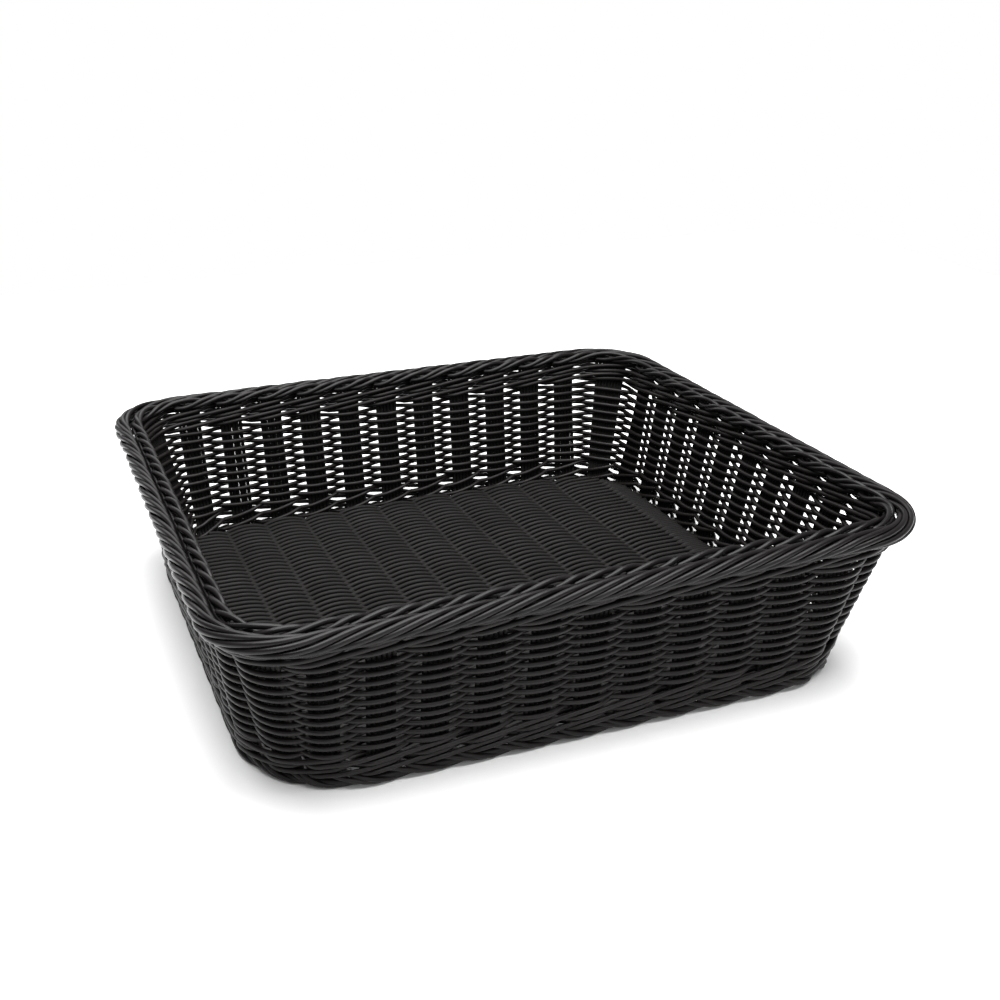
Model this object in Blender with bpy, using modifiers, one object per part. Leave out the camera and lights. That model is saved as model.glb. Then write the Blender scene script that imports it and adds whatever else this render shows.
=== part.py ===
"""Woven bread basket: a flared, round-cornered rectangular basket of round plastic cane.

Upright stake groups stand in one closed line around the basket. Eleven of them are U-shaped: down
the front wall, across the base and up the back wall. The side and corner groups are L-shaped, with
a short foot held by the base. Weave bands pass in front of one stake group and behind the next.
Waling rings lock the top and bottom of the wall, base weavers close the base, and a foot ring and
two rim ropes finish the edges.

Metres, +Z up. The origin is at the middle of the footprint, on the surface the basket stands on.
+X runs along the long side and -Y is the front.
"""
import math

import bmesh
import bpy
from mathutils import Vector

MM = 0.001

# Overall size, outside the rim
LENGTH = 354 * MM
DEPTH = 325 * MM
HEIGHT = 91.5 * MM
RIM_CORNER_R = 41.4 * MM

# Clearance between neighbouring pieces
GAP = 0.3 * MM
RING_GAP = 0.9 * MM      # between rings, whose edges tilt with the wall

# Rim ropes
OUTER_ROPE_R = 5 * MM
INNER_ROPE_R = 2.8 * MM
INNER_ROPE_INSET = 2 * OUTER_ROPE_R + INNER_ROPE_R + GAP
ROPE_ARC_STEPS = 6

# Wall line, which is the middle of the stakes, at the base and at the top
BASE_HALF = (154.8 * MM, 138.9 * MM)
BASE_CORNER_R = 50 * MM
WALL_INSET = 11.7 * MM      # of the wall line at the top, from the outside of the rim
TOP_HALF = (LENGTH / 2 - WALL_INSET, DEPTH / 2 - WALL_INSET)
TOP_CORNER_R = RIM_CORNER_R - WALL_INSET
BASE_Z = 7 * MM
STAKE_TOP = HEIGHT - 2 * INNER_ROPE_R - 2 * GAP

# Stake groups, counted anticlockwise from the middle of the front
HALF_FRONT = 6          # steps from the middle of the front to a corner group
HALF_SIDE = 5.5         # steps from the middle of a side to a corner group
GROUPS = round(4 * (HALF_FRONT + HALF_SIDE))
CORNER_GROUPS = (HALF_FRONT, GROUPS // 2 - HALF_FRONT, GROUPS // 2 + HALF_FRONT, GROUPS - HALF_FRONT)
FRONT_PITCH = (24.9 * MM, 25.4 * MM)    # at the base and at the top
SIDE_PITCH = (23.4 * MM, 25.3 * MM)
ACROSS_SHIFT = -2.8 * MM                # of the front and back groups, along X
SIDE_LEAN = (2.2 * MM, -4.2 * MM)       # of the side groups, along Y, at the base and at the top
STAKE_WIDTH = 13.4 * MM
CORNER_STAKE_WIDTH = 20 * MM        # at the top; at the base it is as wide as the others
STAKE_THICK = 2 * MM
BEND_R = 4 * MM
BEND_STEPS = 3
FOOT_LENGTH = 11 * MM
CORNER_FOOT_LENGTH = 4 * MM
BENT_WALL_STEPS = 4     # steps up a stake that stands in or next to a corner's curve

# Weaving
WEAVE_THICK = 2 * MM
WEAVE_OFFSET = 2.7 * MM     # from the stakes' middle to the weaver's middle
FLAT_HALF = 7 * MM          # half the stretch where a weaver lies flat against a group
BAND_COUNT = 7
BOTTOM_WALE = (11.2 * MM, 18.4 * MM)
TOP_WALE = (72.6 * MM, 80.8 * MM)
WALE_FRONT_RUN = 3          # a wale passes in front of three groups and behind one

# Base weavers
BASE_ROWS = 9
BASE_ROW_PITCH = 28 * MM
BASE_ROW_WIDTH = 26 * MM
BASE_ROW_END = 147.5 * MM
OUTER_ROW_END = 132 * MM

# Foot ring
FOOT_WIDTH = 7 * MM
FOOT_HEIGHT = BASE_Z - STAKE_THICK / 2 - GAP

CANE_BLACK = (0.018, 0.018, 0.019, 1.0)
RIM_BLACK = (0.022, 0.022, 0.023, 1.0)
INNER_BLACK = (0.014, 0.013, 0.013, 1.0)


def clear_scene():
    """Remove every object that the file starts with."""
    for thing in list(bpy.data.objects):
        bpy.data.objects.remove(thing, do_unlink=True)


def make_material(name, colour, roughness):
    """A satin plastic."""
    material = bpy.data.materials.new(name)
    material.use_nodes = True
    shader = material.node_tree.nodes["Principled BSDF"]
    shader.inputs["Base Color"].default_value = colour
    shader.inputs["Roughness"].default_value = roughness
    shader.inputs["Metallic"].default_value = 0.0
    return material


def mix(pair, share):
    """The value a share of the way from the first of a pair to the second."""
    return pair[0] + (pair[1] - pair[0]) * share


def wall_line(group, height, shift):
    """Point on the wall line and its outward direction.

    group is a stake group's number, height is the level above the ground, and shift is a
    distance along the wall line from the group's middle, anticlockwise seen from above.
    """
    share = (height - BASE_Z) / (STAKE_TOP - BASE_Z)
    half_x = mix((BASE_HALF[0], TOP_HALF[0]), share)
    half_y = mix((BASE_HALF[1], TOP_HALF[1]), share)
    radius = mix((BASE_CORNER_R, TOP_CORNER_R), share)
    centres = (0, HALF_FRONT + HALF_SIDE, GROUPS // 2, GROUPS // 2 + HALF_FRONT + HALF_SIDE)
    steps = [((group - c + GROUPS / 2) % GROUPS) - GROUPS / 2 for c in centres]
    spans = (HALF_FRONT, HALF_SIDE, HALF_FRONT, HALF_SIDE)
    wall = min(range(4), key=lambda w: abs(steps[w]) / spans[w])
    on_front = wall % 2 == 0
    along, across = (half_x, half_y) if on_front else (half_y, half_x)
    straight = along - radius
    step = steps[wall]
    if abs(step) == spans[wall]:
        distance = math.copysign(straight + radius * math.pi / 4, step)
    else:
        moved = ACROSS_SHIFT if on_front else mix(SIDE_LEAN, share)
        distance = step * mix(FRONT_PITCH if on_front else SIDE_PITCH, share)
        distance += moved if wall < 2 else -moved
    distance += shift
    past = max(0.0, abs(distance) - straight)
    angle = math.copysign(past / radius, distance)
    local = Vector((math.copysign(min(abs(distance), straight), distance) + radius * math.sin(angle),
                    -(across - radius) - radius * math.cos(angle), 0))
    outward = Vector((math.sin(angle), -math.cos(angle), 0))
    turn = wall * math.pi / 2
    for vector in (local, outward):
        x, y = vector.x, vector.y
        vector.x = x * math.cos(turn) - y * math.sin(turn)
        vector.y = x * math.sin(turn) + y * math.cos(turn)
    local.z = height
    return local, outward


def wall_point(group, height, shift=0.0, offset=0.0):
    """Point at a distance outside (or, below zero, inside) the wall line."""
    point, outward = wall_line(group, height, shift)
    return point + outward * offset


def rounded_rectangle(half_x, half_y, radius, height):
    """Points of a rounded rectangle, anticlockwise from the right side's front end."""
    points = []
    signs = ((1, -1), (1, 1), (-1, 1), (-1, -1))
    for corner, (sx, sy) in enumerate(signs):
        for step in range(ROPE_ARC_STEPS + 1):
            angle = (corner - 1 + step / ROPE_ARC_STEPS) * math.pi / 2
            points.append(Vector((sx * (half_x - radius) + radius * math.cos(angle),
                                  sy * (half_y - radius) + radius * math.sin(angle), height)))
    return points


def add_mesh(name, build, material, thickness, collection):
    """An open surface made by build(bmesh), given its thickness by Solidify."""
    mesh = bpy.data.meshes.new(name)
    surface = bmesh.new()
    build(surface)
    bmesh.ops.recalc_face_normals(surface, faces=surface.faces)
    surface.to_mesh(mesh)
    surface.free()
    mesh.materials.append(material)
    thing = bpy.data.objects.new(name, mesh)
    collection.objects.link(thing)
    solid = thing.modifiers.new("Thickness", "SOLIDIFY")
    solid.thickness = thickness
    solid.offset = 0.0
    solid.use_even_offset = True
    return thing


def strip_builder(rows):
    """A builder for a strip: rows of points, laid on a grid primitive."""
    across = len(rows[0]) - 1
    along = len(rows) - 1

    def build(surface):
        grid = bmesh.ops.create_grid(surface, x_segments=along, y_segments=across, size=1.0)
        verts = sorted(grid["verts"], key=lambda v: (round(v.co.x, 5), round(v.co.y, 5)))
        flat = [point for row in rows for point in row]
        for vert, point in zip(verts, flat):
            vert.co = point
    return build


def ring_builder(first, second):
    """A builder for a closed strip between two loops, from a circle primitive."""
    def build(surface):
        circle = bmesh.ops.create_circle(surface, segments=len(first), radius=1.0)
        loop = circle["verts"]
        edges = list(surface.edges)
        raised = bmesh.ops.extrude_edge_only(surface, edges=edges)
        upper = [v for v in raised["geom"] if isinstance(v, bmesh.types.BMVert)]
        partner = {}
        for edge in surface.edges:
            a, b = edge.verts
            if (a in upper) != (b in upper):
                low, high = (b, a) if a in upper else (a, b)
                partner[low] = high
        for vert, low_point, high_point in zip(loop, first, second):
            vert.co = low_point
            partner[vert].co = high_point
    return build


def steps_from_corner(group):
    """How many stake groups away the nearest corner group is."""
    return min(min((group - corner) % GROUPS, (corner - group) % GROUPS) for corner in CORNER_GROUPS)


def columns(group, half, height):
    """Distances across a group where points lie: a corner group is curved and widens upwards."""
    if steps_from_corner(group) > 0:
        return (-half, half)
    share = (height - BASE_Z) / (STAKE_TOP - BASE_Z)
    wide = half + (CORNER_STAKE_WIDTH - STAKE_WIDTH) / 2 * share
    return (-wide, -wide / 2, 0.0, wide / 2, wide)


def upright_rows(group, foot):
    """Rows of points down a stake: the wall, the bend and a foot of the given length."""
    bend_top = BASE_Z + BEND_R
    steps = BENT_WALL_STEPS if steps_from_corner(group) <= 1 else 1
    rows = []
    for step in range(steps + 1):
        height = mix((STAKE_TOP, bend_top), step / steps)
        shifts = columns(group, STAKE_WIDTH / 2, height)
        rows.append([wall_point(group, height, shift) for shift in shifts])
    for step in range(1, BEND_STEPS + 1):
        angle = step / BEND_STEPS * math.pi / 2
        inward = BEND_R * (1 - math.cos(angle))
        row = [wall_point(group, bend_top, shift, -inward) for shift in shifts]
        for point in row:
            point.z = bend_top - BEND_R * math.sin(angle)
        rows.append(row)
    if foot:
        row = [wall_point(group, bend_top, shift, -BEND_R - foot) for shift in shifts]
        for point in row:
            point.z = BASE_Z
        rows.append(row)
    return rows


def add_cross_stake(name, step, material, collection):
    """A U-shaped group: front wall, base and back wall."""
    front = upright_rows(step % GROUPS, 0.0)
    back = [[Vector((point.x, -point.y, point.z)) for point in row] for row in reversed(front)]
    return add_mesh(name, strip_builder(front + back), material, STAKE_THICK, collection)


def add_wall_stake(name, group, foot, material, collection):
    """An L-shaped group with a short foot on the base."""
    rows = upright_rows(group, foot)
    return add_mesh(name, strip_builder(rows), material, STAKE_THICK, collection)


def weave_loop(height, outside):
    """A closed line of points that weaves through the stakes; outside(group) says on which side."""
    points = []
    for group in range(GROUPS):
        offset = WEAVE_OFFSET if outside(group) else -WEAVE_OFFSET
        points += [wall_point(group, height, shift, offset) for shift in columns(group, FLAT_HALF, height)]
    return points


def add_weave_ring(name, low, high, outside, material, collection):
    """A woven ring between two heights."""
    build = ring_builder(weave_loop(low, outside), weave_loop(high, outside))
    return add_mesh(name, build, material, WEAVE_THICK, collection)


def add_base_row(name, row, material, collection):
    """A flat base weaver that passes over and under the U-shaped groups."""
    middle = (row - (BASE_ROWS - 1) / 2) * BASE_ROW_PITCH
    outermost = row in (0, BASE_ROWS - 1)
    end = OUTER_ROW_END if outermost else BASE_ROW_END
    stations = []
    for step in range(1 - HALF_FRONT, HALF_FRONT):
        side = WEAVE_OFFSET if (step + row) % 2 else -WEAVE_OFFSET
        centre = step * FRONT_PITCH[0] + ACROSS_SHIFT
        stations += [(centre - FLAT_HALF, side), (centre + FLAT_HALF, side)]
    stations[0] = (-end, stations[0][1])
    stations[-1] = (end, stations[-1][1])
    rows = []
    for x, side in stations:
        rows.append([Vector((x, middle + s * BASE_ROW_WIDTH / 2, BASE_Z + side)) for s in (-1, 1)])
    return add_mesh(name, strip_builder(rows), material, WEAVE_THICK, collection)


def add_foot_ring(name, material, collection):
    """The flat ring that the basket stands on."""
    loops = []
    for side in (-1, 1):
        offset = side * FOOT_WIDTH / 2
        loops.append(rounded_rectangle(BASE_HALF[0] + offset, BASE_HALF[1] + offset,
                                       BASE_CORNER_R + offset, FOOT_HEIGHT / 2))
    return add_mesh(name, ring_builder(*loops), material, FOOT_HEIGHT, collection)


def add_rope(name, inset, radius, corner, height, material, collection):
    """A round rope along the rim, as a closed curve with a bevel."""
    curve = bpy.data.curves.new(name, "CURVE")
    curve.dimensions = "3D"
    curve.twist_mode = "Z_UP"
    curve.bevel_depth = radius
    curve.bevel_resolution = 2
    points = rounded_rectangle(LENGTH / 2 - inset, DEPTH / 2 - inset, corner, height)
    spline = curve.splines.new("POLY")
    spline.points.add(len(points) - 1)
    for place, point in zip(spline.points, points):
        place.co = (*point, 1.0)
    spline.use_cyclic_u = True
    spline.use_smooth = True
    curve.materials.append(material)
    thing = bpy.data.objects.new(name, curve)
    collection.objects.link(thing)
    return thing


def build_basket():
    """Make every piece of the basket."""
    clear_scene()
    basket = bpy.data.collections.new("bread_basket")
    bpy.context.scene.collection.children.link(basket)
    stakes = make_material("stake_canes", CANE_BLACK, 0.42)
    weavers = make_material("weaving_canes", CANE_BLACK, 0.38)
    wales = make_material("waling_canes", CANE_BLACK, 0.38)
    base = make_material("base_canes", INNER_BLACK, 0.45)
    foot = make_material("foot_canes", CANE_BLACK, 0.45)
    outer_rim = make_material("rim_canes", RIM_BLACK, 0.36)
    inner_rim = make_material("inner_rim_canes", RIM_BLACK, 0.38)

    for number, step in enumerate(range(1 - HALF_FRONT, HALF_FRONT), 1):
        add_cross_stake(f"cross_stake_{number:02d}", step, stakes, basket)
    for number, group in enumerate(range(CORNER_GROUPS[0] + 1, CORNER_GROUPS[1]), 1):
        add_wall_stake(f"right_stake_{number}", group, FOOT_LENGTH, stakes, basket)
        add_wall_stake(f"left_stake_{number}", GROUPS - group, FOOT_LENGTH, stakes, basket)
    places = ("front_right", "back_right", "back_left", "front_left")
    for place, group in zip(places, CORNER_GROUPS):
        add_wall_stake(f"corner_stake_{place}", group, CORNER_FOOT_LENGTH, stakes, basket)

    pitch = (TOP_WALE[0] - BOTTOM_WALE[1] - RING_GAP) / BAND_COUNT
    for band in range(BAND_COUNT):
        low = BOTTOM_WALE[1] + RING_GAP + band * pitch
        add_weave_ring(f"wall_weave_{band + 1}", low, low + pitch - RING_GAP,
                       lambda group, band=band: (group + band) % 2 == 0, weavers, basket)
    run = WALE_FRONT_RUN + 1
    add_weave_ring("bottom_wale", *BOTTOM_WALE, lambda group: group % run > 0, wales, basket)
    add_weave_ring("top_wale", *TOP_WALE, lambda group: (group + 2) % run > 0, wales, basket)

    for row in range(BASE_ROWS):
        add_base_row(f"base_weave_{row + 1}", row, base, basket)
    add_foot_ring("foot_ring", foot, basket)

    add_rope("outer_rim_rope", OUTER_ROPE_R, OUTER_ROPE_R, RIM_CORNER_R - OUTER_ROPE_R,
             HEIGHT - OUTER_ROPE_R, outer_rim, basket)
    add_rope("inner_rim_rope", INNER_ROPE_INSET, INNER_ROPE_R, RIM_CORNER_R - INNER_ROPE_INSET,
             HEIGHT - INNER_ROPE_R, inner_rim, basket)


build_basket()
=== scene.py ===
"""The looks of the woven bread basket: every cane of the basket as a round tube, in place of the
plain bands and rings of the CAD model.

A place on the basket is given by a stake group's number, which may be a fraction, a height, and a
distance outside (or, below zero, inside) the wall line. Groups are numbered anticlockwise, seen from
above, from the middle of the front. Metres, +Z up, -Y is the front.
"""
import math

import bpy
import numpy as np
from mathutils import Matrix, Vector


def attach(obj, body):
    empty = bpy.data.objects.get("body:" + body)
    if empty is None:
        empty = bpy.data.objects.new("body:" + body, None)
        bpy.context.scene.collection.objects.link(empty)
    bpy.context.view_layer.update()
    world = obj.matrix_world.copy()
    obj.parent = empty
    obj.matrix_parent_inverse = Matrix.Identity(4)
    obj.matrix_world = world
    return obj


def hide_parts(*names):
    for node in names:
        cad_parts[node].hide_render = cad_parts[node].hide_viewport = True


MM = 0.001
TURN = 2 * math.pi
UP = (0, 0, 1)
SEED = 4

# The wall line, as the CAD model has it. A pair of lengths is along x and along y.
LENGTH = 354 * MM
DEPTH = 325 * MM
HEIGHT = 91.5 * MM
RIM_CORNER_R = 41.4 * MM
OUTER_ROPE_R = 5 * MM
INNER_ROPE_R = 2.8 * MM
GAP = 0.3 * MM
INNER_ROPE_INSET = 2 * OUTER_ROPE_R + INNER_ROPE_R + GAP
WALL_INSET = 11.7 * MM
BASE_HALF = (154.8 * MM, 138.9 * MM)
BASE_CORNER_R = 50 * MM
TOP_HALF = (LENGTH / 2 - WALL_INSET, DEPTH / 2 - WALL_INSET)
TOP_CORNER_R = RIM_CORNER_R - WALL_INSET
BASE_Z = 7 * MM
STAKE_TOP = HEIGHT - 2 * INNER_ROPE_R - 2 * GAP
BEND_R = 4 * MM
FOOT_LENGTH = 11 * MM
CORNER_FOOT_LENGTH = 4 * MM

# Stake groups
HALF_FRONT = 6                  # groups from the middle of the front or back to a corner group
HALF_SIDE = 5.5                 # the same for a side
GROUPS = 46
CORNER_GROUPS = (6, 17, 29, 40)
WALL_MIDDLES = (0, 11.5, 23, 34.5)      # of the front, right, back and left walls
WALL_SPANS = (HALF_FRONT, HALF_SIDE, HALF_FRONT, HALF_SIDE)
FRONT_PITCH = (24.9 * MM, 25.4 * MM)    # between neighbouring groups, at the base and at the top
SIDE_PITCH = (23.4 * MM, 25.3 * MM)
ACROSS_SHIFT = -2.8 * MM                # of the front and back groups along x
SIDE_LEAN = (2.2 * MM, -4.2 * MM)       # of the side groups along y, at the base and at the top

# Canes. A jitter is the standard deviation of a small random shift.
SIDES = 10                      # faces around a cane
END_REACH = (0.3, 0.45)         # how far past a cane's end its two last rings lie, in radii
END_WIDTH = (0.85, 0.5)         # how wide those rings are, in radii
STAKE_R = 1.16 * MM
STAKE_CANES = 6                 # canes side by side in a group
CORNER_CANES = 9
STAKE_SPACING = 2.28 * MM
STAKE_JITTER = 0.04 * MM
FAN = 0.12                      # how much wider a group is at its top, as a share of its width
FAN_FROM = 68 * MM              # height where it starts to widen
# Points along a stake cane: its upright part, its bend, its foot and its run across the base
WALL_POINTS = 16
BEND_POINTS = 6
FOOT_POINTS = 3
ACROSS_POINTS = 28
WEAVER_R = 1.3 * MM
WEAVE_ROWS = 21
WEAVE_BANDS = 7                 # bands that the CAD model shows the rows as
WEAVE_FIRST_Z = 19.7 * MM
WEAVE_PITCH = 2.52 * MM
WEAVE_OFFSET = 2.95 * MM        # of a weaver's middle from the wall line
WEAVE_SHARPNESS = 0.75          # how flat a weaver lies across a group
WEAVE_OUT_JITTER = 0.09 * MM
WEAVE_UP_JITTER = 0.13 * MM
SAMPLES = 10                    # points along a weaver or a wale cane for each group it passes
CORE_SAMPLES = 6                # the same for the plain canes under the ropes

rng = np.random.default_rng(SEED)


def mix(pair, share):
    """The value a share of the way from the first of a pair to the second."""
    return pair[0] + (pair[1] - pair[0]) * share


def smooth(x):
    """0 below 0, 1 above 1, and a soft step between."""
    x = np.clip(x, 0.0, 1.0)
    return x * x * (3 - 2 * x)


def wall_line(group, height, shift=0.0):
    """Points on the wall line and their outward directions, as two arrays of x, y pairs."""
    group, height, shift = np.broadcast_arrays(*[np.asarray(v, float) for v in (group, height, shift)])
    share = (height - BASE_Z) / (STAKE_TOP - BASE_Z)
    halves = [mix((BASE_HALF[axis], TOP_HALF[axis]), share) for axis in (0, 1)]
    radius = mix((BASE_CORNER_R, TOP_CORNER_R), share)
    # Groups past the middle of each wall, and the wall each point is on
    steps = np.stack([(group - c + GROUPS / 2) % GROUPS - GROUPS / 2 for c in WALL_MIDDLES])
    nearest = np.argmin([np.abs(steps[w]) / WALL_SPANS[w] for w in range(4)], axis=0)
    place = np.zeros(group.shape + (2,))
    outward = np.zeros(group.shape + (2,))
    for wall in range(4):
        on_front = wall % 2 == 0
        along, across = (halves[0], halves[1]) if on_front else (halves[1], halves[0])
        straight = along - radius
        step = steps[wall]
        side = np.where(step < 0, -1.0, 1.0)
        last = WALL_SPANS[wall] - 1
        moved = (ACROSS_SHIFT if on_front else mix(SIDE_LEAN, share)) * (1 if wall < 2 else -1)
        pitch = mix(FRONT_PITCH if on_front else SIDE_PITCH, share)
        # Even steps along the wall, then from the last group there to the middle of the corner
        inner = np.clip(step, -last, last) * pitch + moved
        corner = side * (straight + radius * math.pi / 4)
        past_last = np.clip(np.abs(step) - last, 0, 1)
        distance = inner + (corner - inner) * past_last + shift
        turned = np.sign(distance) * np.maximum(0, np.abs(distance) - straight) / radius
        x = np.clip(distance, -straight, straight) + radius * np.sin(turned)
        y = -(across - radius) - radius * np.cos(turned)
        out_x, out_y = np.sin(turned), -np.cos(turned)
        c, s = round(math.cos(wall * math.pi / 2)), round(math.sin(wall * math.pi / 2))
        here = nearest == wall
        place[here] = np.stack([x * c - y * s, x * s + y * c], -1)[here]
        outward[here] = np.stack([out_x * c - out_y * s, out_x * s + out_y * c], -1)[here]
    return place, outward


def points_at(group, height, offset=0.0, shift=0.0, line_height=None):
    """Points as an array of x, y, z. line_height is where the wall line is taken, if not at height."""
    place, outward = wall_line(group, height if line_height is None else line_height, shift)
    flat = place + outward * np.broadcast_to(offset, place.shape[:1])[:, None]
    return np.column_stack([flat, np.broadcast_to(height, place.shape[:1])])


def whole_turn(samples):
    """Group numbers once around the basket, so many for each group."""
    return np.arange(GROUPS * samples) / samples


def rim_points(group, offset, height):
    """Points on the rim: offset from the wall line as it is at the top of the stakes."""
    return points_at(group, height, offset, line_height=STAKE_TOP)


class Canes:
    """Gathers tubes for one piece and turns them into a mesh."""

    def __init__(self):
        self.verts = []
        self.loops = []
        self.sizes = []
        self.uvs = []
        self.tones = []
        self.count = 0

    def add(self, points, radius, upright, closed=False):
        """A tube along points. upright is a direction that the tube never runs along."""
        radius = np.full(len(points), radius)
        if not closed:
            points, radius = self.rounded_ends(points, radius)
        number = len(points)
        if closed:
            along = np.roll(points, -1, 0) - np.roll(points, 1, 0)
        else:
            along = np.gradient(points, axis=0)
        along /= np.linalg.norm(along, axis=1)[:, None]
        across = np.cross(along, upright)
        across /= np.linalg.norm(across, axis=1)[:, None]
        up = np.cross(across, along)
        angles = np.arange(SIDES) / SIDES * TURN
        ring = (across[:, None, :] * np.cos(angles)[None, :, None]
                + up[:, None, :] * np.sin(angles)[None, :, None])
        verts = points[:, None, :] + ring * radius[:, None, None]
        steps = np.linalg.norm(np.diff(points, axis=0, append=points[:1]), axis=1)
        length = np.concatenate([[0.0], np.cumsum(steps)])
        rows = number if closed else number - 1
        i, j = np.meshgrid(np.arange(rows), np.arange(SIDES), indexing="ij")
        i, j = i.ravel(), j.ravel()
        after, beside = (i + 1) % number, (j + 1) % SIDES
        quads = np.stack([i * SIDES + j, i * SIDES + beside, after * SIDES + beside, after * SIDES + j], 1)
        start, end = length[i], length[i + 1]
        left, right = j / SIDES, (j + 1) / SIDES
        uv = np.stack([start, left, start, right, end, right, end, left], 1).reshape(-1, 2)
        self.verts.append(verts.reshape(-1, 3))
        self.loops.append(quads.ravel() + self.count)
        self.sizes += [4] * len(quads)
        self.uvs.append(uv)
        if not closed:
            first = np.arange(SIDES)[::-1] + self.count
            last = np.arange(SIDES) + self.count + (number - 1) * SIDES
            self.loops += [first, last]
            self.sizes += [SIDES, SIDES]
            self.uvs += [np.zeros((SIDES, 2)), np.full((SIDES, 2), [length[number - 1], 0.0])]
        self.tones.append(np.full(number * SIDES, rng.uniform(0, 1)))
        self.count += number * SIDES

    @staticmethod
    def rounded_ends(points, radius):
        """The same tube with two narrowing points added at each end."""
        head = points[0] - points[1]
        head /= np.linalg.norm(head)
        tail = points[-1] - points[-2]
        tail /= np.linalg.norm(tail)
        first, last = radius[0], radius[-1]
        near, far = END_REACH
        wide, narrow = END_WIDTH
        points = np.vstack([points[0] + head * first * far, points[0] + head * first * near, points,
                            points[-1] + tail * last * near, points[-1] + tail * last * far])
        radius = np.concatenate([[first * narrow, first * wide], radius, [last * wide, last * narrow]])
        return points, radius

    def build(self, name, material, slot, *nodes):
        """Make the object, put it on the basket's body and let it stand for the CAD nodes."""
        mesh = bpy.data.meshes.new(name)
        verts = np.vstack(self.verts)
        loops = np.concatenate(self.loops)
        sizes = np.array(self.sizes)
        mesh.vertices.add(len(verts))
        mesh.vertices.foreach_set("co", verts.astype(np.float32).ravel())
        mesh.loops.add(len(loops))
        mesh.loops.foreach_set("vertex_index", loops.astype(np.int32))
        mesh.polygons.add(len(sizes))
        starts = np.concatenate([[0], np.cumsum(sizes)[:-1]])
        mesh.polygons.foreach_set("loop_start", starts.astype(np.int32))
        mesh.polygons.foreach_set("use_smooth", np.ones(len(sizes), bool))
        layer = mesh.uv_layers.new(name="cane")
        layer.data.foreach_set("uv", np.vstack(self.uvs).astype(np.float32).ravel())
        tone = mesh.attributes.new("cane_tone", "FLOAT", "POINT")
        tone.data.foreach_set("value", np.concatenate(self.tones).astype(np.float32))
        mesh.materials.append(material)
        mesh.update(calc_edges=True)
        mesh.validate()
        piece = bpy.data.objects.new(name, mesh)
        bpy.context.scene.collection.objects.link(piece)
        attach(piece, "root")
        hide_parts(*nodes)


def build_core(name, centre, radius, line_height, material, slot, node):
    """A plain closed cane that fills a rope or a border. centre is its offset and its height."""
    group = whole_turn(CORE_SAMPLES)
    path = points_at(group, np.full(len(group), centre[1]), centre[0], line_height=line_height)
    core = Canes()
    core.add(path, radius, UP, closed=True)
    core.build(name, material, slot, node)


def wander(jitter):
    """A smooth, closed run of small random shifts, one for each group, as a function of the group."""
    values = rng.normal(0, jitter, GROUPS)
    whole = np.concatenate([values, values[:1]])

    def at(group):
        group = np.asarray(group) % GROUPS
        low = np.floor(group).astype(int) % GROUPS
        part = smooth(group - np.floor(group))
        return whole[low] * (1 - part) + whole[low + 1] * part
    return at


# Cane plastic. Noise scales are per metre, bumps are a strength and a depth.
SHINE = 0.2                     # of the plastic's surface, where 0.5 is plain plastic
REFRACTION = 1.49
STREAK_SCALE = (90.0, 7.0, 1.0)         # along a cane, and per turn around it
STREAK_SPREAD = 37.0            # depth of noise from which the canes take their streaks
STREAK_SHARE = 0.55             # how much a cane's colour follows its streaks
TONE_SHARE = 0.45               # how much it follows the cane's own tone
STREAK_BUMP = (0.4, 0.12 * MM)
BLOTCH_SCALE = 38.0
BLOTCH_RANGE = (0.3, 0.7)       # noise values of the least and the most roughness
GRAIN_SCALE = 1400.0
GRAIN_BUMP = (0.25, 0.03 * MM)
# The darkest and the lightest colour of a cane
# Stake and base canes get darker tones than the wall canes. This is painted shade for canes that lie behind
# the weavers and inside the basket.
PAINTED_SHADE_TONES = ((0.003, 0.0026, 0.0024), (0.007, 0.006, 0.0057))
WALL_TONES = ((0.0042, 0.0034, 0.0033), (0.0092, 0.0076, 0.0074))
RIM_TONES = ((0.0036, 0.0030, 0.0031), (0.0082, 0.0070, 0.0072))
# Each plastic's name, tones, and least and most roughness
PLASTICS = (("stake_canes", PAINTED_SHADE_TONES, (0.6, 0.75)),
            ("weaving_canes", WALL_TONES, (0.34, 0.47)),
            ("waling_canes", WALL_TONES, (0.34, 0.47)),
            ("rim_canes", RIM_TONES, (0.26, 0.37)),
            ("inner_rim_canes", RIM_TONES, (0.26, 0.37)),
            ("foot_canes", WALL_TONES, (0.38, 0.55)),
            ("base_canes", PAINTED_SHADE_TONES, (0.6, 0.75)))


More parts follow.
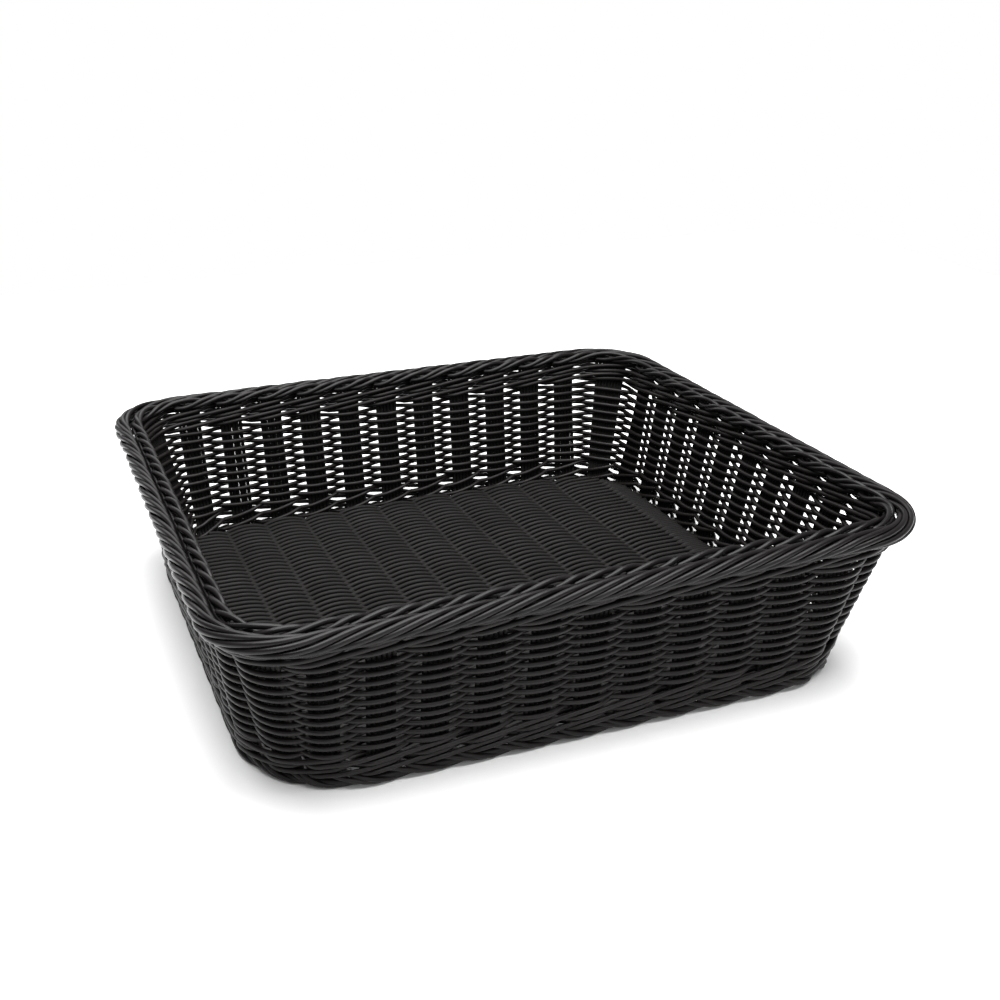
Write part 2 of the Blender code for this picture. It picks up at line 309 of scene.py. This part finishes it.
def cane_plastic(name, tones, rough):
    """Satin plastic cane: fine lengthwise streaks, uneven sheen and a slightly different tone per cane."""
    material = bpy.data.materials.new(name)
    material.use_nodes = True
    tree = material.node_tree
    shader = tree.nodes["Principled BSDF"]

    def node(kind, **values):
        made = tree.nodes.new(kind)
        for key, value in values.items():
            if key in made.inputs:
                made.inputs[key].default_value = value
            else:
                setattr(made, key, value)
        return made

    uv = node("ShaderNodeUVMap", uv_map="cane")
    stretched = node("ShaderNodeMapping")
    stretched.inputs["Scale"].default_value = STREAK_SCALE
    tree.links.new(uv.outputs["UV"], stretched.inputs["Vector"])
    tone = node("ShaderNodeAttribute", attribute_name="cane_tone")
    shifted = node("ShaderNodeVectorMath", operation="ADD")
    spread = node("ShaderNodeCombineXYZ")
    times = node("ShaderNodeMath", operation="MULTIPLY")
    times.inputs[1].default_value = STREAK_SPREAD
    tree.links.new(tone.outputs["Fac"], times.inputs[0])
    tree.links.new(times.outputs[0], spread.inputs["Z"])
    tree.links.new(stretched.outputs["Vector"], shifted.inputs[0])
    tree.links.new(spread.outputs["Vector"], shifted.inputs[1])
    streaks = node("ShaderNodeTexNoise", Scale=1.0, Detail=4.0, Roughness=0.62)
    tree.links.new(shifted.outputs["Vector"], streaks.inputs["Vector"])

    place = node("ShaderNodeTexCoord")
    blotches = node("ShaderNodeTexNoise", Scale=BLOTCH_SCALE, Detail=3.0, Roughness=0.55)
    tree.links.new(place.outputs["Object"], blotches.inputs["Vector"])
    grain = node("ShaderNodeTexNoise", Scale=GRAIN_SCALE, Detail=2.0, Roughness=0.5)
    tree.links.new(place.outputs["Object"], grain.inputs["Vector"])

    amount = node("ShaderNodeMath", operation="MULTIPLY_ADD")
    amount.inputs[1].default_value = STREAK_SHARE
    tree.links.new(streaks.outputs["Fac"], amount.inputs[0])
    own_tone = node("ShaderNodeMath", operation="MULTIPLY")
    own_tone.inputs[1].default_value = TONE_SHARE
    tree.links.new(tone.outputs["Fac"], own_tone.inputs[0])
    tree.links.new(own_tone.outputs[0], amount.inputs[2])
    colour = node("ShaderNodeMixRGB")
    colour.inputs["Color1"].default_value = (*tones[0], 1.0)
    colour.inputs["Color2"].default_value = (*tones[1], 1.0)
    tree.links.new(amount.outputs[0], colour.inputs["Fac"])
    tree.links.new(colour.outputs["Color"], shader.inputs["Base Color"])

    sheen = node("ShaderNodeMapRange")
    sheen.inputs["From Min"].default_value = BLOTCH_RANGE[0]
    sheen.inputs["From Max"].default_value = BLOTCH_RANGE[1]
    sheen.inputs["To Min"].default_value = rough[0]
    sheen.inputs["To Max"].default_value = rough[1]
    tree.links.new(blotches.outputs["Fac"], sheen.inputs["Value"])
    tree.links.new(sheen.outputs["Result"], shader.inputs["Roughness"])

    fine = node("ShaderNodeBump", Strength=GRAIN_BUMP[0], Distance=GRAIN_BUMP[1])
    tree.links.new(grain.outputs["Fac"], fine.inputs["Height"])
    lines = node("ShaderNodeBump", Strength=STREAK_BUMP[0], Distance=STREAK_BUMP[1])
    tree.links.new(streaks.outputs["Fac"], lines.inputs["Height"])
    tree.links.new(fine.outputs["Normal"], lines.inputs["Normal"])
    tree.links.new(lines.outputs["Normal"], shader.inputs["Normal"])
    shader.inputs["Specular IOR Level"].default_value = SHINE
    shader.inputs["IOR"].default_value = REFRACTION
    return material


def stake_path(group, shift, foot, gathered=1.0):
    """A stake cane from its top to the base, where its shift is only the gathered share."""
    bend_top = BASE_Z + BEND_R
    heights = np.linspace(STAKE_TOP, bend_top, WALL_POINTS)
    fan = FAN * smooth((heights - FAN_FROM) / (STAKE_TOP - FAN_FROM))
    spread = np.linspace(1.0, gathered, WALL_POINTS) + fan
    wall = points_at(np.full(WALL_POINTS, float(group)), heights, 0.0, shift * spread)
    shift = shift * gathered
    turns = np.linspace(0, math.pi / 2, BEND_POINTS + 1)[1:]
    inwards = -BEND_R * (1 - np.cos(turns))
    bend = points_at(np.full(BEND_POINTS, float(group)), np.full(BEND_POINTS, bend_top), inwards, shift)
    bend[:, 2] = bend_top - BEND_R * np.sin(turns)
    rows = [wall, bend]
    if foot:
        runs = np.linspace(0, foot, FOOT_POINTS + 1)[1:]
        places = np.full(FOOT_POINTS, float(group))
        end = points_at(places, np.full(FOOT_POINTS, bend_top), -BEND_R - runs, shift)
        end[:, 2] = BASE_Z
        rows.append(end)
    return np.vstack(rows)


def along_wall(group):
    """The direction along the wall at a group, level."""
    _, outward = wall_line(float(group), BASE_Z + BEND_R)
    return np.array([-outward[1], outward[0], 0.0])


def group_shifts(count=STAKE_CANES):
    """Where each cane of a group stands across it, with a little unevenness."""
    middle = (count - 1) / 2
    return [(cane - middle) * STAKE_SPACING + rng.normal(0, STAKE_JITTER) for cane in range(count)]


def build_stakes(material):
    """All the stake canes, one piece for each group."""
    for number, step in enumerate(range(1 - HALF_FRONT, HALF_FRONT), 1):
        canes = Canes()
        for shift in group_shifts():
            front = stake_path(step % GROUPS, shift, 0.0)
            back = front[::-1] * np.array([1, -1, 1])
            across = np.linspace(front[-1], back[0], ACROSS_POINTS + 2)[1:-1]
            canes.add(np.vstack([front, across, back]), STAKE_R, (1, 0, 0))
        canes.build(f"cross_stake_canes_{number:02d}", material, "stake_canes", f"cross_stake_{number:02d}")
    for number, group in enumerate(range(CORNER_GROUPS[0] + 1, CORNER_GROUPS[1]), 1):
        for side, place in (("right", group), ("left", GROUPS - group)):
            build_wall_stake(f"{side}_stake_canes_{number}", place, FOOT_LENGTH, material,
                             f"{side}_stake_{number}")
    places = ("front_right", "back_right", "back_left", "front_left")
    for place, group in zip(places, CORNER_GROUPS):
        build_wall_stake(f"corner_stake_canes_{place}", group, CORNER_FOOT_LENGTH, material,
                         f"corner_stake_{place}", CORNER_CANES)


def build_wall_stake(name, group, foot, material, node, count=STAKE_CANES):
    """An L-shaped group of stake canes."""
    canes = Canes()
    upright = along_wall(group)
    for shift in group_shifts(count):
        canes.add(stake_path(group, shift, foot, STAKE_CANES / count), STAKE_R, upright)
    canes.build(name, material, "stake_canes", node)


def weave_wave(step):
    """From 1 at an even group to -1 at an odd one."""
    return np.tanh(WEAVE_SHARPNESS * np.cos(math.pi * step)) / math.tanh(WEAVE_SHARPNESS)


def build_wall_weave(material):
    """Single weavers, each in front of one group and behind the next, rows alternating."""
    group = whole_turn(SAMPLES)
    wave = weave_wave(group)
    for row in range(WEAVE_ROWS):
        side = -1 if row % 2 == 0 else 1
        loose = wander(WEAVE_OUT_JITTER)(group)
        drift = wander(WEAVE_UP_JITTER)(group)
        height = WEAVE_FIRST_Z + row * WEAVE_PITCH + drift
        offset = side * wave * (WEAVE_OFFSET + loose)
        canes = Canes()
        canes.add(points_at(group, height, offset), WEAVER_R, UP, closed=True)
        band = row * WEAVE_BANDS // WEAVE_ROWS + 1
        canes.build(f"wall_weave_cane_{row + 1:02d}", material, "weaving_canes", f"wall_weave_{band}")


# Wales. A wale's levels are its lowest and highest, its run is the groups it passes in front and behind.
BOTTOM_WALES = ((6.8 * MM, 13.0 * MM), (12.6 * MM, 19.0 * MM))
BOTTOM_RUN = (2, 1)
BOTTOM_WALE_R = 1.25 * MM
TOP_WALES = ((72.8 * MM, 79.2 * MM), (78.2 * MM, 84.8 * MM))
TOP_RUN = (2, 2)
TOP_WALE_R = 1.38 * MM
WALE_LEAD = 0.9 * MM            # how much further out a cane lies as it starts to climb
CROSS_FROM = 0.1                # groups past one group's middle, where a cane begins to cross the wall
CROSS_OVER = 0.8                # groups it takes to cross
MID_GAP = 0.5                   # groups from one group's middle to the gap's middle
WALE_OUT_JITTER = 0.1 * MM
WALE_UP_JITTER = 0.16 * MM


def wale_path(levels, run, start):
    """One closed cane of a wale: it climbs in front of some groups and comes down behind the next."""
    front, behind = run
    cycle = front + behind
    rounds = cycle // math.gcd(GROUPS, cycle)
    turn = np.arange(rounds * GROUPS * SAMPLES) / SAMPLES
    phase = turn % cycle
    out = smooth((phase - CROSS_FROM) / CROSS_OVER) - smooth((phase - front - CROSS_FROM) / CROSS_OVER)
    group = (turn + start) % GROUPS
    coming_down = MID_GAP / behind
    climb = np.interp(phase, (0, MID_GAP, front + MID_GAP, cycle), (coming_down, 0, 1, coming_down))
    offset = (2 * out - 1) * (WEAVE_OFFSET + wander(WALE_OUT_JITTER)(group))
    offset += WALE_LEAD * out * (1 - climb)
    height = mix(levels, climb) + wander(WALE_UP_JITTER)(group)
    return points_at(group, height, offset)


def build_wales(material):
    """The waled rounds below and above the weave."""
    for place, wales, run, radius in (("bottom", BOTTOM_WALES, BOTTOM_RUN, BOTTOM_WALE_R),
                                      ("top", TOP_WALES, TOP_RUN, TOP_WALE_R)):
        canes = Canes()
        for levels in wales:
            for start in range(math.gcd(GROUPS, sum(run))):
                canes.add(wale_path(levels, run, start), radius, UP, closed=True)
        canes.build(f"{place}_wale_canes", material, "waling_canes", f"{place}_wale")


# Rim. A centre is an offset from the wall line and a height. Angles are in degrees.
OUTER_CENTRE = (WALL_INSET - OUTER_ROPE_R, HEIGHT - OUTER_ROPE_R)
OUTER_CANE_R = 1.36 * MM
OUTER_RUN = 3.0                 # groups that a cane passes
OUTER_ANGLES = (-135, 164)
OUTER_EASE = 1.05               # above 1 a cane lies flatter towards its end
OUTER_CANES = 98
OUTER_START_JITTER = 0.035      # groups
OUTER_RUN_JITTER = 0.05         # groups
OUTER_RADIUS_JITTER = 0.1 * MM
OUTER_CORE_R = 1.7 * MM
INNER_CENTRE = (WALL_INSET - INNER_ROPE_INSET, HEIGHT - INNER_ROPE_R)
INNER_CANE_R = 1.35 * MM
INNER_DROP = 1.2 * MM           # how far the canes' inner ends hang below the rope
# The short and the long cane of each group: place, groups passed, angles, ease, extra radius
INNER_LAYS = ((0.0, 1.25, (-40, 232), 1.5, 0.3 * MM), (0.4, 1.6, (-30, 232), 1.3, 0.55 * MM))
INNER_FIRST = 0.06              # groups, where the first short cane begins
INNER_START_JITTER = 0.03       # groups
INNER_RADIUS_JITTER = 0.06 * MM
GROOVE = (0.9 * MM, 86.7 * MM)  # the centre of the cane under the groove between the ropes
GROOVE_R = 1.3 * MM
RIM_CANE_POINTS = 40
DIVE_FROM = 0.86                # share of a cane, after which its end dives into the rope
DIVE = 0.3                      # how much nearer the rope's middle it comes, as a share
DROP_FROM = 130                 # the angle after which the inner canes' ends drop
DROP_OVER = 1.6                 # how far a cane turns while its end drops, in radians


def wrapped_cane(start, run, centre, radius, angles, ease, drop=0.0):
    """A cane laid along the rim while it turns about the rope's middle from one angle to another.

    An angle of 0 points outwards, a quarter turn is the top and a half turn points inwards.
    """
    share = np.linspace(0, 1, RIM_CANE_POINTS)
    angle = np.radians(mix(angles, 1 - (1 - share) ** ease))
    dive = 1 - DIVE * smooth((share - DIVE_FROM) / (1 - DIVE_FROM))
    fall = drop * smooth((angle - math.radians(DROP_FROM)) / DROP_OVER)
    offset = centre[0] + radius * dive * np.cos(angle)
    height = centre[1] + radius * dive * np.sin(angle) - fall
    return rim_points(start + run * share, offset, height)


def build_rim(outer_material, inner_material):
    """The two ropes of the rim."""
    outer = Canes()
    for number in range(OUTER_CANES):
        start = number * GROUPS / OUTER_CANES + rng.normal(0, OUTER_START_JITTER)
        radius = OUTER_ROPE_R - OUTER_CANE_R + rng.normal(0, OUTER_RADIUS_JITTER)
        run = OUTER_RUN + rng.normal(0, OUTER_RUN_JITTER)
        path = wrapped_cane(start, run, OUTER_CENTRE, radius, OUTER_ANGLES, OUTER_EASE)
        outer.add(path, OUTER_CANE_R, UP)
    outer.build("outer_rim_canes", outer_material, "rim_canes", "outer_rim_rope")
    build_core("outer_rim_core", OUTER_CENTRE, OUTER_CORE_R, STAKE_TOP, inner_material, "rim_canes",
               "outer_rim_rope")
    inner = Canes()
    for number in range(GROUPS):
        for place, run, angles, ease, extra in INNER_LAYS:
            start = INNER_FIRST + number + place + rng.normal(0, INNER_START_JITTER)
            radius = INNER_ROPE_R - INNER_CANE_R + extra + rng.normal(0, INNER_RADIUS_JITTER)
            path = wrapped_cane(start, run, INNER_CENTRE, radius, angles, ease, INNER_DROP)
            inner.add(path, INNER_CANE_R, UP)
    inner.build("inner_rim_canes", inner_material, "inner_rim_canes", "inner_rim_rope")
    build_core("inner_rim_core", GROOVE, GROOVE_R, STAKE_TOP, inner_material, "inner_rim_canes",
               "inner_rim_rope")


# Foot border
FOOT_R = 1.22 * MM
FOOT_RUN = 2.1                  # groups that a cane passes
FOOT_CANE_POINTS = 30
FOOT_START_JITTER = 0.025       # groups
# The path of a cane in section, in mm: distance outside the wall line at the base, and height
FOOT_SECTION = ((1.4, 8.2), (2.9, 7.0), (3.5, 5.2), (3.3, 3.4), (2.3, 1.9), (0.5, 1.3), (-2.5, 1.25),
                (-6.3, 2.5))
FOOT_PLACES = (0.0, 0.36)       # where the two canes of a group begin, in groups
FOOT_EASES = (0.95, 0.75)       # below 1 a cane drops sooner
FOOT_CORE = (1.1 * MM, 3.1 * MM)        # offset and height of the cane inside the border
FOOT_CORE_R = 1.7 * MM


def build_foot(material):
    """The border of canes along the bottom edge."""
    section = np.array(FOOT_SECTION) * MM
    spread = np.concatenate([[0], np.cumsum(np.linalg.norm(np.diff(section, axis=0), axis=1))])
    spread /= spread[-1]
    canes = Canes()
    share = np.linspace(0, 1, FOOT_CANE_POINTS)
    for number in range(GROUPS):
        for place, ease in zip(FOOT_PLACES, FOOT_EASES):
            start = number + place + rng.normal(0, FOOT_START_JITTER)
            offset = np.interp(share ** ease, spread, section[:, 0])
            height = np.interp(share ** ease, spread, section[:, 1])
            path = points_at(start + FOOT_RUN * share, height, offset, line_height=BASE_Z)
            canes.add(path, FOOT_R, UP)
    canes.build("foot_border_canes", material, "foot_canes", "foot_ring")
    build_core("foot_core", FOOT_CORE, FOOT_CORE_R, BASE_Z, material, "foot_canes", "foot_ring")


# Base
BASE_STRIPS = 9                 # strips that the CAD model shows the weavers as
BASE_CANES = 110
BASE_CANE_POINTS = 150
BASE_HALF_WIDTH = 134 * MM      # from the middle to the first and last weaver
BASE_WEAVE_OFFSET = 2.5 * MM    # of a weaver's middle above or below the stakes' middles
BASE_INSET = 4.4 * MM           # of the weavers' ends from the wall line
BASE_END_JITTER = 0.5 * MM
FEET_INSET = 15 * MM            # how far in from the wall line the side stakes' feet reach
FEET_RISE = 6 * MM              # length over which a weaver comes to lie over the feet


def build_base(material):
    """The base weavers, each over one front-to-back group and under the next."""
    strips = [Canes() for _ in range(BASE_STRIPS)]
    for number in range(BASE_CANES):
        y = mix((-BASE_HALF_WIDTH, BASE_HALF_WIDTH), number / (BASE_CANES - 1))
        past = max(0.0, abs(y) - (BASE_HALF[1] - BASE_CORNER_R))
        inside = BASE_CORNER_R - BASE_INSET
        end = BASE_HALF[0] - BASE_CORNER_R + math.sqrt(max(0.0, inside ** 2 - past ** 2))
        end += rng.normal(0, BASE_END_JITTER)
        x = np.linspace(-end, end, BASE_CANE_POINTS)
        step = np.clip((x - ACROSS_SHIFT) / FRONT_PITCH[0], 1 - HALF_FRONT, HALF_FRONT - 1)
        side = 1 if number % 2 == 0 else -1
        on_feet = smooth((np.abs(x) - (BASE_HALF[0] - FEET_INSET - FEET_RISE)) / FEET_RISE)
        z = BASE_Z + BASE_WEAVE_OFFSET * (side * weave_wave(step) * (1 - on_feet) + on_feet)
        path = np.column_stack([x, np.full(len(x), y), z])
        strips[number * BASE_STRIPS // BASE_CANES].add(path, WEAVER_R, (0, 1, 0))
    for number, strip in enumerate(strips, 1):
        strip.build(f"base_weave_canes_{number}", material, "base_canes", f"base_weave_{number}")


CAMERA_AZIMUTH = -20.13         # degrees, from straight in front, towards the left
CAMERA_ELEVATION = 23.34
CAMERA_ROLL = -0.49
CAMERA_PLACE = Vector((-0.23993, -0.58152, 0.33574))
FOCAL_LENGTH = 45.04            # mm
SENSOR_WIDTH = 36.0             # mm
SENSOR_SHIFT = 0.069            # to the side, as a share of the sensor's width
NEAR_CLIP = 0.01


def add_camera():
    """The camera, in front of the basket, to its left and above it."""
    azimuth = math.radians(CAMERA_AZIMUTH)
    elevation = math.radians(CAMERA_ELEVATION)
    roll = math.radians(CAMERA_ROLL)
    back = Vector((math.sin(azimuth) * math.cos(elevation), -math.cos(azimuth) * math.cos(elevation),
                   math.sin(elevation)))
    right = (-back).cross(Vector(UP)).normalized()
    up = back.cross(right)
    rolled_right = right * math.cos(roll) + up * math.sin(roll)
    rolled_up = up * math.cos(roll) - right * math.sin(roll)
    data = bpy.data.cameras.new("camera")
    data.lens = FOCAL_LENGTH
    data.sensor_width = SENSOR_WIDTH
    data.shift_x = SENSOR_SHIFT
    data.clip_start = NEAR_CLIP
    camera = bpy.data.objects.new("camera", data)
    turned = Matrix((rolled_right, rolled_up, back)).transposed().to_4x4()
    camera.matrix_world = Matrix.Translation(CAMERA_PLACE) @ turned
    bpy.context.scene.collection.objects.link(camera)
    bpy.context.scene.camera = camera


# Studio
FLOOR_HALF = 0.85
FLOOR_PAINT = (0.88, 0.88, 0.88, 1.0)
FLOOR_ROUGHNESS = 0.8
SURROUND = 0.27                 # light from all around; the camera sees the surround as white
SURROUND_COLOUR = (1.0, 1.0, 1.0, 1.0)
LIGHT_TARGET = (0, 0, 0.05)
# Each light's name, place, size and watts
LIGHTS = (("above", (0.0, -0.05, 1.5), 1.6, 72.0),
          ("back", (0.0, 1.5, 1.1), 1.3, 9.0),
          ("front", (0.3, -1.8, 0.9), 1.4, 10.0))


def add_area_light(name, place, size, power):
    """A square soft light, turned to the basket."""
    data = bpy.data.lights.new(name, "AREA")
    data.shape = "SQUARE"
    data.size = size
    data.energy = power
    light = bpy.data.objects.new(name, data)
    aim = Vector(LIGHT_TARGET) - Vector(place)
    light.matrix_world = Matrix.Translation(place) @ aim.to_track_quat("-Z", "Y").to_matrix().to_4x4()
    bpy.context.scene.collection.objects.link(light)


def add_studio():
    """A pale floor, a pale surround and soft lights."""
    mesh = bpy.data.meshes.new("floor")
    half = FLOOR_HALF
    mesh.from_pydata([(-half, -half, 0), (half, -half, 0), (half, half, 0), (-half, half, 0)], [],
                     [(0, 1, 2, 3)])
    floor = bpy.data.objects.new("floor", mesh)
    bpy.context.scene.collection.objects.link(floor)
    paint = bpy.data.materials.new("floor")
    paint.use_nodes = True
    shader = paint.node_tree.nodes["Principled BSDF"]
    shader.inputs["Base Color"].default_value = FLOOR_PAINT
    shader.inputs["Roughness"].default_value = FLOOR_ROUGHNESS
    mesh.materials.append(paint)
    world = bpy.data.worlds.new("surround")
    world.use_nodes = True
    nodes, links = world.node_tree.nodes, world.node_tree.links
    nodes["Background"].inputs["Strength"].default_value = SURROUND
    backdrop = nodes.new("ShaderNodeBackground")
    seen = nodes.new("ShaderNodeLightPath")
    either = nodes.new("ShaderNodeMixShader")
    for surface in (nodes["Background"], backdrop):
        surface.inputs["Color"].default_value = SURROUND_COLOUR
    links.new(seen.outputs["Is Camera Ray"], either.inputs["Fac"])
    links.new(nodes["Background"].outputs["Background"], either.inputs[1])
    links.new(backdrop.outputs["Background"], either.inputs[2])
    links.new(either.outputs["Shader"], nodes["World Output"].inputs["Surface"])
    bpy.context.scene.world = world
    bpy.context.scene.view_settings.view_transform = "Standard"
    for name, place, size, power in LIGHTS:
        add_area_light(name, place, size, power)


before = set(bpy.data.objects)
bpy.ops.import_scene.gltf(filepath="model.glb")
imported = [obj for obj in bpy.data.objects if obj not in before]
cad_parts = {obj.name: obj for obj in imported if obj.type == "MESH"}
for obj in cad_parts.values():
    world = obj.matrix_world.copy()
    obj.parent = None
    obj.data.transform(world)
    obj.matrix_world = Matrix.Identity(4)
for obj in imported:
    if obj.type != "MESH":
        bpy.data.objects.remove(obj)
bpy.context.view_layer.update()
plastics = {name: cane_plastic(name, tones, rough) for name, tones, rough in PLASTICS}
build_stakes(plastics["stake_canes"])
build_wall_weave(plastics["weaving_canes"])
build_wales(plastics["waling_canes"])
build_rim(plastics["rim_canes"], plastics["inner_rim_canes"])
build_foot(plastics["foot_canes"])
build_base(plastics["base_canes"])
add_studio()
add_camera()
